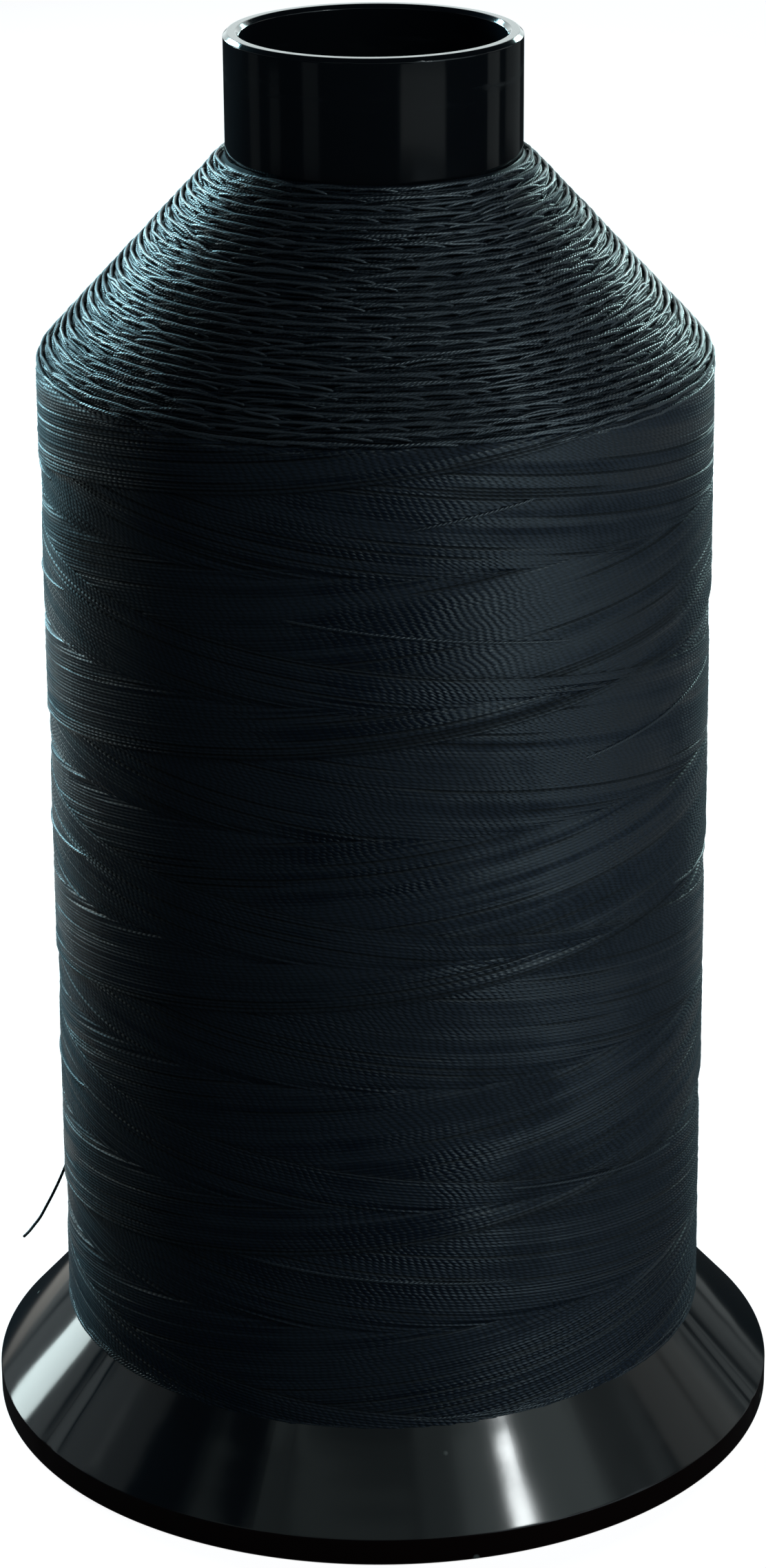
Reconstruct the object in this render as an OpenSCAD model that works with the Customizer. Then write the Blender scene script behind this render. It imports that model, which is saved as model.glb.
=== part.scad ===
// King spool of bonded sewing thread: a moulded barrel pressed into a hollow conical base,
// with the wound package on it. Millimetres, +Z up the barrel, origin in the middle of the
// base rim's underside.

/* [Barrel] */
// Height of the whole spool
total_h = 180; // [176:1:190]
// Outside diameter of the barrel and its neck
barrel_d = 36; // [34:0.5:37]
// Wall of the barrel
barrel_wall = 2; // [1.6:0.1:2.4]
// Chamfer on both edges of the neck's lip
lip_chamfer = 0.5; // [0.2:0.1:0.7]

/* [Base] */
// Outside diameter of the base rim
base_d = 102; // [100:1:110]
// Height of the upright band round the base rim
rim_h = 3.5; // [3:0.5:5]
// Wall of the base moulding
base_wall = 2; // [1.6:0.1:2.4]
// Webs between the base's socket and its skirt
web_count = 16; // [14:1:18]
// Thickness of one web
web_t = 1.4; // [1:0.1:1.6]

/* [Package] */
// Diameter of the wound package over its outermost thread
package_d = 83.5; // [80:0.5:85]
// Height at which the outermost thread meets the base cone
foot_z = 13.8; // [12:0.1:16]
// Height of the edge between the package's side and its shoulder
shoulder_z = 141; // [134:1:144]
// Height at which the shoulder's slope would meet the neck
neck_meet_z = 166.5; // [164:0.5:168]

/* [Outer turns] */
// Thickness of a ridge, two or three threads bunched where they turn back
ridge_d = 0.8; // [0.6:0.1:0.9]
// Turns that lie on the shoulder
shoulder_turns = 20; // [12:1:20]
// Turns that cross the side of the package
side_turns = 3; // [2:1:3]

/* [Loose end] */
// Diameter of one thread
thread_d = 0.4; // [0.3:0.05:0.5]

/* [Hidden] */
$fn = 96;

// Barrel and its seat
barrel_r = barrel_d / 2;
bore_r = barrel_r - barrel_wall;
seat_z = 3;
ledge_r = bore_r + 0.8;
hub_bottom_z = 1;

// Base cone, a straight slope from the rim's edge through the package's foot
base_r = base_d / 2;
package_r = package_d / 2;
cone_slope = (foot_z - rim_h) / (base_r - package_r);
socket_r = barrel_r + base_wall;
wall_drop = base_wall * sqrt(1 + cone_slope * cone_slope);
web_overlap = 0.4;

function cone_z(r) = rim_h + (base_r - r) * cone_slope;
function inner_cone_z(r) = cone_z(r) - wall_drop;

// Package core: the dressed package less the outermost layer
skin = 0.75;
core_r = package_r - skin;
fillet = 2;
slope_fall = (neck_meet_z - shoulder_z) / (package_r - barrel_r);
slope_tilt = atan(1 / slope_fall);
neck_flat = 1;
top_c = [barrel_r + neck_flat, slope_z(barrel_r + neck_flat)];
edge_c = [core_r - fillet, slope_z(core_r - fillet)];

// Line on which both fillets are centred, a fillet and a skin below the shoulder's surface
function slope_z(r) =
    neck_meet_z - (r - barrel_r) * slope_fall
    - (fillet + skin) * sqrt(1 + slope_fall * slope_fall);

// The outer turns lie this far off the core, measured to the middle of the ridge
rest_gap = 0.02;
turn_off = ridge_d / 2 + rest_gap;
loop_steps = 24;
ridge_sides = 6;
chord = cos(180 / loop_steps);
turn_count = shoulder_turns + side_turns;

// The meridian that the turns follow: fillet at the neck, slope, fillet at the edge, side
fillet_path = fillet + turn_off;
top_run = fillet_path * (90 - slope_tilt) * PI / 180;
slope_run = norm(edge_c - top_c);
edge_run = fillet_path * slope_tilt * PI / 180;
shoulder_run = top_run + slope_run + edge_run;

// Middle line of the free stretch of thread, from the last turn to its cut end
loose_route = [
    [-32.0, 26.9, 36.0], [-33.3, 25.3, 35.6], [-34.6, 23.6, 35.1], [-35.8, 21.9, 34.4],
    [-37.0, 20.1, 33.6], [-38.1, 18.2, 32.6], [-39.1, 16.3, 31.4], [-40.0, 14.5, 30.1],
    [-40.9, 12.7, 28.6], [-41.7, 10.9, 27.0], [-42.5, 9.1, 25.4], [-43.3, 7.7, 23.9],
    [-44.1, 6.4, 22.6], [-44.9, 5.0, 21.5], [-45.6, 3.5, 20.7], [-46.3, 2.0, 20.3],
    [-46.9, 0.5, 20.1], [-47.5, -1.0, 20.1]
];
loose_sides = 8;
rings_per_span = 2;

// The last full ring of the turns stands five degrees before the loose end
last_ring_az = 135;
last_ring_z = 36.8;
side_fall = edge_c[1] - last_ring_z;
side_power = 1.5;

function unit(v) = v / norm(v);
function on_fillet(c, a) =
    [c[0] + fillet_path * cos(a), c[1] + fillet_path * sin(a)];

// Point [radius, height] on the meridian at run s from its top
function meridian(s) =
    s < top_run
        ? on_fillet(top_c, 90 - s / fillet_path * 180 / PI)
    : s < top_run + slope_run
        ? on_fillet(top_c + unit(edge_c - top_c) * (s - top_run), slope_tilt)
    : s < shoulder_run
        ? on_fillet(edge_c, (shoulder_run - s) / fillet_path * 180 / PI)
    : [edge_c[0] + fillet_path, edge_c[1] - (s - shoulder_run)];

// Run along the meridian after u turns: steady on the shoulder, opening out on the side
shoulder_pitch = shoulder_run / shoulder_turns;
function side_run(v) =
    shoulder_pitch * v
    + (side_fall - shoulder_pitch * side_turns) * pow(v / side_turns, side_power);
function run_at(u) =
    u < shoulder_turns ? shoulder_pitch * u : shoulder_run + side_run(u - shoulder_turns);

// Middle of ring i, pushed out so that the straight chords clear the round core
function turn_point(i) =
    let (u = i / loop_steps,
         m = meridian(run_at(u)),
         az = last_ring_az - (turn_count - u) * 360)
    [m[0] / chord * cos(az), m[0] / chord * sin(az), m[1]];

// Start of the turns: straight off the neck for one ridge, then a quarter bend
first_ring = turn_point(0);
first_r = norm([first_ring[0], first_ring[1]]);
first_az = last_ring_az - turn_count * 360;
bend_r = first_r - barrel_r - ridge_d;
bend_steps = 3;
function hook_point(r, back) =
    [r * cos(first_az) + back * sin(first_az),
     r * sin(first_az) - back * cos(first_az), first_ring[2]];
start_hook = concat(
    [hook_point(barrel_r, bend_r + ridge_d), hook_point(barrel_r + ridge_d, bend_r + ridge_d)],
    [for (k = [1:bend_steps])
        let (a = 90 * k / bend_steps)
        hook_point(barrel_r + ridge_d + bend_r * (1 - cos(a)),
                   bend_r * (1 - sin(a)) + ridge_d)]
);

// End of the turns: straight for one ridge into the loose end
end_dir = unit(loose_route[1] - loose_route[0]);
end_run = [loose_route[0] - end_dir * ridge_d, loose_route[0]];
spiral = [for (i = [0:turn_count * loop_steps]) turn_point(i)];
turn_path = concat(start_hook, spiral, end_run);

// Least gap between the ridge and itself, over points at least half a turn apart
least_gap = min([
    for (i = [0:len(spiral) - 1], j = [i + loop_steps / 2:1:len(spiral) - 1])
        norm(spiral[i] - spiral[j])
]) - ridge_d;
echo(least_gap_of_outer_turns = least_gap);

// Direction along a path at point i
function heading(path, i) =
    unit(path[min(i + 1, len(path) - 1)] - path[max(i - 1, 0)]);

// One ring of a tube, square to the path, with one vertex level with the middle line
function ring(path, i, r, sides) =
    let (t = heading(path, i),
         across = unit(cross([0, 0, 1], t)),
         over = cross(t, across))
    [for (k = [0:sides - 1])
        path[i] + r * (across * cos(360 * k / sides) + over * sin(360 * k / sides))];

// A closed tube of triangles swept along a path
module swept_tube(path, d, sides) {
    rings = len(path);
    last = (rings - 1) * sides;
    points = [for (i = [0:rings - 1]) each ring(path, i, d / 2, sides)];
    walls = [for (i = [0:rings - 2], k = [0:sides - 1])
        let (a = i * sides + k, b = i * sides + (k + 1) % sides)
        each [[a, a + sides, b], [b, a + sides, b + sides]]];
    start_cap = [for (k = [1:sides - 2]) [0, k, k + 1]];
    end_cap = [for (k = [1:sides - 2]) [last, last + k + 1, last + k]];
    polyhedron(points = points, faces = concat(walls, start_cap, end_cap));
}

// Points on a smooth curve through a route, Catmull and Rom's rule
function curve_point(route, i, t) =
    let (a = route[max(i - 1, 0)], b = route[i],
         c = route[i + 1], d = route[min(i + 2, len(route) - 1)])
    0.5 * (2 * b + (c - a) * t + (2 * a - 5 * b + 4 * c - d) * t * t
           + (3 * b - a - 3 * c + d) * t * t * t);
function curve(route, n) = concat(
    [for (i = [0:len(route) - 2], k = [0:n - 1]) curve_point(route, i, k / n)],
    [route[len(route) - 1]]
);

// Straight tube with a chamfered lip at the neck
module barrel() {
    color([0.03, 0.03, 0.035])
    rotate_extrude()
        polygon([
            [bore_r, seat_z],
            [barrel_r, seat_z],
            [barrel_r, total_h - lip_chamfer],
            [barrel_r - lip_chamfer, total_h],
            [bore_r + lip_chamfer, total_h],
            [bore_r, total_h - lip_chamfer]
        ]);
}

// One upright web under the cone, from the socket to the skirt
module web() {
    inner = socket_r - web_overlap;
    outer = base_r - base_wall + web_overlap;
    translate([0, web_t / 2, 0])
        rotate([90, 0, 0])
            linear_extrude(web_t)
                polygon([
                    [inner, hub_bottom_z],
                    [outer, hub_bottom_z],
                    [outer, inner_cone_z(outer) + web_overlap],
                    [inner, inner_cone_z(inner) + web_overlap]
                ]);
}

// Hollow cone with an upright rim, the socket that grips the barrel, and its ledge
module base_shell() {
    skirt_in = base_r - base_wall;
    rotate_extrude()
        polygon([
            [base_r, 0],
            [base_r, rim_h],
            [socket_r, cone_z(socket_r)],
            [barrel_r, cone_z(socket_r)],
            [barrel_r, seat_z],
            [ledge_r, seat_z],
            [ledge_r, hub_bottom_z],
            [socket_r, hub_bottom_z],
            [socket_r, inner_cone_z(socket_r)],
            [skirt_in, inner_cone_z(skirt_in)],
            [skirt_in, 0]
        ]);
}

module base_flange() {
    color([0.03, 0.03, 0.035])
    union() {
        base_shell();
        for (i = [0:web_count - 1])
            rotate([0, 0, 360 * i / web_count]) web();
    }
}

// Fillet arc of the core's outline, from one normal direction to another
function fillet_arc(c, from, to) =
    [for (k = [0:6]) let (a = from + (to - from) * k / 6)
        [c[0] + fillet * cos(a), c[1] + fillet * sin(a)]];

// The wound mass: level on the socket, seated on the cone, sloped at the shoulder
module thread_core() {
    color([0.03, 0.05, 0.09])
    rotate_extrude()
        polygon(concat(
            [[barrel_r, cone_z(socket_r)],
             [socket_r, cone_z(socket_r)],
             [core_r, cone_z(core_r)]],
            fillet_arc(edge_c, 0, slope_tilt),
            fillet_arc(top_c, slope_tilt, 90),
            [[barrel_r, top_c[1] + fillet]]
        ));
}

// The outermost turns, one unbroken ridge from the neck to the loose end
module outer_turns() {
    color([0.06, 0.1, 0.16])
    swept_tube(turn_path, ridge_d, ridge_sides);
}

// The cut end of the thread, sprung clear of the package
module loose_end() {
    color([0.03, 0.05, 0.09])
    swept_tube(curve(loose_route, rings_per_span), thread_d, loose_sides);
}

barrel();
base_flange();
thread_core();
outer_turns();
loose_end();
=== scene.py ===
"""Dresses a king spool of bonded thread: its two mouldings, its wound package, its loose end."""

import logging
import math
from dataclasses import astuple, dataclass, field, replace
from enum import Enum
import bpy
import numpy as np
from bpy.types import Material, Node, NodeSocket, NodeTree, Object
from mathutils import Matrix, Vector


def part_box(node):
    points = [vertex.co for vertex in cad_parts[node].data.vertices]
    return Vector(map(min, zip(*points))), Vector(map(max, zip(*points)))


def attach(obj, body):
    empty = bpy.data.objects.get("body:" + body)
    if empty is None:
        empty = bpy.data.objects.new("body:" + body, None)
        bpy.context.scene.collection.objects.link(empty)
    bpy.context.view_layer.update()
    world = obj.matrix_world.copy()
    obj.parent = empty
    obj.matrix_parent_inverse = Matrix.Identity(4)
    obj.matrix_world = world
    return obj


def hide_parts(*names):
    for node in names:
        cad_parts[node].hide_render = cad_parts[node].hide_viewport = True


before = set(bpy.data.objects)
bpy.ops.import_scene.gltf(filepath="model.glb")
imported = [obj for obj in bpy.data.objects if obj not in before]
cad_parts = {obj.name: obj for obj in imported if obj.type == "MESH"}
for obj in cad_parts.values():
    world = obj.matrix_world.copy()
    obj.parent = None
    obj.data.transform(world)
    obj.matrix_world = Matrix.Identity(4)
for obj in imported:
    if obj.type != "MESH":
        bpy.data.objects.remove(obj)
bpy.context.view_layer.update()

log = logging.getLogger("spool")

MM = 0.001
BODY = "root"
LAY_UV = "lay"
Colour = tuple[float, float, float]


class Climb(Enum):
    """Which way a lay of thread climbs, seen from outside and followed to the right."""

    UP = 1
    DOWN = -1


# Meshes


def build_mesh(
    name: str,
    points: np.ndarray,
    faces: list[np.ndarray],
    lay_uv: np.ndarray | None = None,
    painted_shade: np.ndarray | None = None,
) -> Object:
    """Puts whole arrays into a smooth-shaded mesh object at the origin.

    Args:
        name: The piece's name.
        points: Vertex places in metres, of shape (n, 3).
        faces: Arrays of vertex numbers, each of shape (m, 3) or (m, 4).
        lay_uv: A (u, v) pair for each corner, in the order of the faces.
        painted_shade: For each vertex, how far painted shade darkens the colour: 1 in an open slot or a
            contact shadow, 0 where the surface is whole.

    Returns:
        The new object, linked to the scene.
    """
    corners = np.concatenate([f.ravel() for f in faces]).astype(np.int32)
    sizes = np.concatenate([np.full(len(f), f.shape[1], np.int32) for f in faces])
    mesh = bpy.data.meshes.new(name)
    mesh.vertices.add(len(points))
    mesh.vertices.foreach_set("co", points.astype(np.float32).ravel())
    mesh.loops.add(len(corners))
    mesh.loops.foreach_set("vertex_index", corners)
    mesh.polygons.add(len(sizes))
    mesh.polygons.foreach_set("loop_start", (np.cumsum(sizes) - sizes).astype(np.int32))
    mesh.polygons.foreach_set("use_smooth", np.ones(len(sizes), bool))
    if lay_uv is not None:
        layer = mesh.uv_layers.new(name=LAY_UV)
        layer.data.foreach_set("uv", lay_uv.astype(np.float32).ravel())
    # painted shade for the slots between turns and the contact shadows, stored for the thread's material
    if painted_shade is not None:
        slots = mesh.attributes.new("open", "FLOAT", "POINT")
        slots.data.foreach_set("value", painted_shade.astype(np.float32).ravel())
    mesh.update(calc_edges=True)
    piece = bpy.data.objects.new(name, mesh)
    bpy.context.scene.collection.objects.link(piece)
    return piece


def cell_corners(grid: np.ndarray) -> np.ndarray:
    """The values at the four corners of each cell of a grid, counterclockwise."""
    return np.stack([grid[:-1, :-1], grid[:-1, 1:], grid[1:, 1:], grid[1:, :-1]], -1)


def around(radius: np.ndarray, turn: np.ndarray, height: np.ndarray) -> np.ndarray:
    """Points (r sin t, -r cos t, z): turn 0 is the front, and turns grow to the right."""
    return np.stack([radius * np.sin(turn), -radius * np.cos(turn), height + 0 * radius * turn], -1)


def nearness(points: np.ndarray, radius: float, degrees: float, height: float, reach: float) -> np.ndarray:
    """How near points are to a spot, of shape (n, 1): e to the minus (distance / reach) squared."""
    spot = around(np.array(radius), np.array(math.radians(degrees)), np.array(height))
    return np.exp(-(np.linalg.norm(points - spot, axis=1) / reach) ** 2)[:, None]


def rounded_profile(corners: list[tuple[float, float, float]], steps: int = 6) -> np.ndarray:
    """Closed outline whose corners are arcs, with a close point before and after each arc.

    Each corner is cut back by radius x tan(half the turn) along both its edges, and the arc
    between the cuts is centred on the corner's bisector.

    Args:
        corners: (radius from the axis, height, corner radius), counterclockwise.
        steps: Facets of each arc.

    Returns:
        Points (r, z) of shape (n, 2).
    """
    outline = []
    count = len(corners)
    for i, (r, z, bend) in enumerate(corners):
        here = np.array([r, z])
        back = np.array(corners[i - 1][:2]) - here
        ahead = np.array(corners[(i + 1) % count][:2]) - here
        back, ahead = back / np.linalg.norm(back), ahead / np.linalg.norm(ahead)
        if bend <= 0:
            outline.append(here)
            continue
        half = math.acos(float(np.clip(back @ ahead, -1, 1))) / 2
        cut = bend / math.tan(half)
        centre = here + (back + ahead) / np.linalg.norm(back + ahead) * bend / math.sin(half)
        first, last = here + back * cut - centre, here + ahead * cut - centre
        share = np.linspace(0, 1, steps + 1)[:, None]
        sweep = math.pi - 2 * half
        arc = (np.sin((1 - share) * sweep) * first + np.sin(share * sweep) * last) / math.sin(sweep)
        outline.append(here + back * (cut + 0.5 * bend))
        outline.extend(centre + arc)
        outline.append(here + ahead * (cut + 0.5 * bend))
    return np.array(outline)


def lathe(profile: np.ndarray, columns: int) -> tuple[np.ndarray, np.ndarray]:
    """Turns a closed outline round the axis: point (i, j) is profile point i at turn j / columns.

    Args:
        profile: Points (r, z), counterclockwise.
        columns: Facets round the axis.

    Returns:
        Points of shape (n, 3) and quads of shape (m, 4), facing outwards.
    """
    rows = len(profile)
    turn = np.linspace(-math.pi, math.pi, columns, endpoint=False)
    points = around(profile[:, 0, None], turn[None, :], profile[:, 1, None])
    i, j = np.meshgrid(np.arange(rows), np.arange(columns), indexing="ij")
    up, right = (i + 1) % rows, (j + 1) % columns
    quads = np.stack([i * columns + j, i * columns + right, up * columns + right, up * columns + j], -1)
    return points.reshape(-1, 3), quads.reshape(-1, 4)


def sweep_rounds(
    paths: np.ndarray, outward: np.ndarray, radius: np.ndarray, sides: int
) -> tuple[np.ndarray, list[np.ndarray], np.ndarray]:
    """Carries a round section along many paths at once, with closed ends.

    A ring stands square to its path: point k is path + radius x (cos a x over + sin a x across),
    where across is the path's heading x outward, over is across x heading, and a is k / sides
    of a turn.

    Args:
        paths: Middle lines, of shape (n, rings, 3).
        outward: Directions away from what carries the tube, of the same shape.
        radius: Radius of the section, of a shape that spreads over (n, rings, sides).
        sides: Facets round the section.

    Returns:
        Points, faces, and a (length in mm, tube number + share of the way round) pair for each
        corner.
    """
    count, rings, _ = paths.shape
    heading = np.gradient(paths, axis=1)
    heading /= np.linalg.norm(heading, axis=2, keepdims=True)
    across = np.cross(heading, outward)
    across /= np.linalg.norm(across, axis=2, keepdims=True)
    over = np.cross(across, heading)
    angle = np.arange(sides) * 2 * math.pi / sides
    ring = np.cos(angle)[:, None] * over[:, :, None] + np.sin(angle)[:, None] * across[:, :, None]
    points = paths[:, :, None] + np.broadcast_to(radius, (count, rings, sides))[..., None] * ring

    tube, i, k = np.meshgrid(np.arange(count), np.arange(rings - 1), np.arange(sides), indexing="ij")
    here = (tube * rings + i) * sides
    ahead = here + sides
    beside = (k + 1) % sides
    quads = np.stack([here + k, here + beside, ahead + beside, ahead + k], -1).reshape(-1, 4)
    fan = np.arange(1, sides - 1)
    starts = (np.arange(count) * rings * sides)[:, None]
    ends = starts + (rings - 1) * sides
    zero = 0 * fan
    start_caps = np.stack([starts + zero, starts + fan + 1, starts + fan], -1).reshape(-1, 3)
    end_caps = np.stack([ends + zero, ends + fan, ends + fan + 1], -1).reshape(-1, 3)

    step = np.linalg.norm(np.diff(paths, axis=1), axis=2) / MM
    length = np.concatenate([np.zeros((count, 1)), np.cumsum(step, axis=1)], axis=1)
    near, far = length[tube, i], length[tube, i + 1]
    low, high = tube + k / sides, tube + (k + 1) / sides
    u, v = np.stack([near, near, far, far], -1), np.stack([low, high, high, low], -1)
    quad_uv = np.stack([u, v], -1).reshape(-1, 2)
    cap_uv = np.repeat(np.arange(count), 3 * len(fan))
    start_uv = np.stack([0 * cap_uv, cap_uv + 0.5], -1)
    end_uv = np.stack([length[cap_uv, -1], cap_uv + 0.5], -1)
    return points.reshape(-1, 3), [quads, start_caps, end_caps], np.concatenate([quad_uv, start_uv, end_uv])


def smooth_step(x: np.ndarray) -> np.ndarray:
    """0 below 0, 1 above 1, and 3x^2 - 2x^3 between."""
    x = np.clip(x, 0, 1)
    return x * x * (3 - 2 * x)


def adopt(piece: Object, finish: "Finish", *nodes: str) -> Object:
    """Gives a piece its finish, its body and the nodes that it stands for."""
    piece.data.materials.append(finish.material())
    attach(piece, BODY)
    if nodes:
        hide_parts(*nodes)
    log.info("%s: %d faces", piece.name, len(piece.data.polygons))
    return piece


# Finishes


def blank_material(name: str) -> Material:
    """A new material that uses nodes."""
    material = bpy.data.materials.new(name)
    material.use_nodes = True
    return material


class NodeSheet:
    """A node tree, and short ways to add nodes to it."""

    def __init__(self, tree: NodeTree) -> None:
        """Empties the tree.

        Args:
            tree: The tree of a material or a world.
        """
        self.tree = tree
        self.tree.nodes.clear()

    def node(self, kind: str, inputs: dict | None = None, **settings: object) -> Node:
        """Adds a node.

        Args:
            kind: The node's type, without its ShaderNode prefix.
            inputs: Values or sockets by input name or number.
            settings: The node's own settings.

        Returns:
            The new node.
        """
        made = self.tree.nodes.new("ShaderNode" + kind)
        for name, value in settings.items():
            setattr(made, name, value)
        for key, value in (inputs or {}).items():
            if isinstance(value, NodeSocket):
                self.tree.links.new(value, made.inputs[key])
            else:
                made.inputs[key].default_value = value
        return made

    def math(self, operation: str, *values: object) -> NodeSocket:
        """The result of one Math node on values or sockets."""
        return self.node("Math", dict(enumerate(values)), operation=operation).outputs[0]

    def times(self, a: object, b: object) -> NodeSocket:
        """The product of two values or sockets."""
        return self.math("MULTIPLY", a, b)

    def plus(self, a: object, b: object) -> NodeSocket:
        """The sum of two values or sockets."""
        return self.math("ADD", a, b)

    def ramp(self, value: object, low: float, high: float, start: float = 0, end: float = 1) -> NodeSocket:
        """A value mapped from low..high to start..end, and held at the ends."""
        return self.node("MapRange", {0: value, 1: low, 2: high, 3: start, 4: end}, clamp=True).outputs[0]

    def noise(self, place: NodeSocket, scale: float, detail: float = 2.0) -> NodeSocket:
        """Noise from 0 to 1, with its middle near 0.5."""
        made = self.node("TexNoise", {"Vector": place, "Scale": scale, "Detail": detail})
        return made.outputs["Fac"]

    def mix(self, share: object, low: object, high: object) -> NodeSocket:
        """A colour between two others."""
        return self.node("Mix", {0: share, 6: low, 7: high}, data_type="RGBA").outputs[2]

    def seen_directly(self) -> NodeSocket:
        """1 where a ray comes from the eye or from a shiny or clear surface, else 0."""
        rays = self.node("LightPath").outputs
        seen = self.math("MAXIMUM", rays["Is Camera Ray"], rays["Is Glossy Ray"])
        return self.math("MAXIMUM", seen, rays["Is Transmission Ray"])


class ShaderSheet(NodeSheet):
    """A material with one Principled shader."""

    def __init__(self, name: str) -> None:
        """Makes the material and its shader.

        Args:
            name: The material's name.
        """
        self.material = blank_material(name)
        super().__init__(self.material.node_tree)
        self.shader = self.node("BsdfPrincipled")
        self.node("OutputMaterial", {0: self.shader.outputs[0]})

    def set(self, **values: float | tuple[float, ...]) -> None:
        """Sets the shader's own sockets; an underscore in a name stands for a space."""
        for name, value in values.items():
            self.shader.inputs[name.replace("_", " ")].default_value = value

    def put(self, socket: str, source: NodeSocket) -> None:
        """Links a result into one of the shader's sockets."""
        self.tree.links.new(source, self.shader.inputs[socket])

    def place(self) -> NodeSocket:
        """Object coordinates, in metres."""
        return self.node("TexCoord").outputs["Object"]

    def squeezed(self, scale: float) -> NodeSocket:
        """Object coordinates with heights multiplied, so that a pattern is drawn out level."""
        return self.node("Mapping", {"Vector": self.place(), "Scale": (1.0, 1.0, scale)}).outputs[0]

    def bump(self, height: NodeSocket, distance: float) -> None:
        """Raises the surface by height x distance, in metres."""
        made = self.node("Bump", {"Height": height, "Distance": distance, "Strength": 1.0})
        self.put("Normal", made.outputs[0])


def rgba(colour: Colour) -> tuple[float, float, float, float]:
    """A colour with full alpha."""
    return (*colour, 1.0)


@dataclass(frozen=True)
class Finish:
    """A surface finish and the record's slot that it belongs to."""

    name: str
    slot: str

    def material(self) -> Material:
        """The finish's material, made the first time that it is asked for."""
        return bpy.data.materials.get(self.name) or self.paint()

    def paint(self) -> Material:
        """Makes the material."""
        raise NotImplementedError


@dataclass(frozen=True)
class PolishedMoulding(Finish):
    """Black polished plastic with flow marks, rub marks, dust, and a painted reflection of a brown table,
    dark red, on the rim at its foot.
    """

    colour: Colour = (0.0075, 0.0100, 0.0125)
    rub_colour: Colour = (0.03, 0.034, 0.036)
    dust_colour: Colour = (0.22, 0.25, 0.22)
    # painted reflection: a brown table's dark red, painted into the upright rim's colour up to a height
    painted_rim_reflection: Colour = (0.010, 0.0035, 0.0028)
    painted_rim_reflection_top: float = 3.4 * MM
    roughness: float = 0.08
    rub_height: float = 175.4 * MM
    rub_reach: float = 1.8 * MM
    ripple: float = 0.06 * MM

    def paint(self) -> Material:
        """Makes the material.

        Rub marks are stretched noise near one height, dust is the cores of sparse cells, and
        flow marks are a slow ripple that bends the reflections. The band at the foot is a painted
        reflection of a brown table on the upright rim. Each kind of mark adds its own roughness.

        Returns:
            The new material.
        """
        sheet = ShaderSheet(self.name)
        place, level = sheet.place(), sheet.squeezed(6.0)
        height = sheet.node("SeparateXYZ", {0: place}).outputs["Z"]
        from_rub = sheet.math("ABSOLUTE", sheet.math("SUBTRACT", height, self.rub_height))
        near_rub = sheet.ramp(from_rub, 0.0, self.rub_reach, 1.0, 0.0)
        rub = sheet.times(near_rub, sheet.ramp(sheet.noise(level, 160.0, 6.0), 0.5, 0.72))
        haze = sheet.ramp(sheet.noise(place, 55.0, 5.0), 0.42, 0.75)
        cells = sheet.node("TexVoronoi", {"Vector": place, "Scale": 260.0}, feature="F1").outputs
        chosen = sheet.node("SeparateColor", {0: cells["Color"]}).outputs[0]
        core = sheet.ramp(cells["Distance"], 0.05, 0.13, 1.0, 0.0)
        dust = sheet.times(core, sheet.ramp(chosen, 0.93, 0.94))
        # painted reflection of a brown table: the upright rim at the foot takes a dark red, fading out 0.3
        # mm above its top
        band = sheet.ramp(height, self.painted_rim_reflection_top, self.painted_rim_reflection_top + 0.3 * MM, 1.0, 0.0)
        tone = sheet.mix(band, rgba(self.colour), rgba(self.painted_rim_reflection))
        tone = sheet.mix(sheet.times(rub, 0.35), tone, rgba(self.rub_colour))
        tone = sheet.mix(sheet.times(dust, 0.8), tone, rgba(self.dust_colour))
        sheet.put("Base Color", tone)
        rough = self.roughness
        for mark, added in ((haze, 0.05), (rub, 0.22), (band, 0.12), (dust, 0.5)):
            rough = sheet.plus(rough, sheet.times(mark, added))
        sheet.put("Roughness", rough)
        fine = sheet.times(sheet.noise(place, 900.0, 3.0), 0.02)
        flow = sheet.plus(sheet.noise(level, 28.0, 1.0), fine)
        sheet.bump(sheet.plus(flow, sheet.times(dust, 0.3)), self.ripple)
        sheet.set(Specular_IOR_Level=0.3, IOR=1.5)
        return sheet.material


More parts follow.
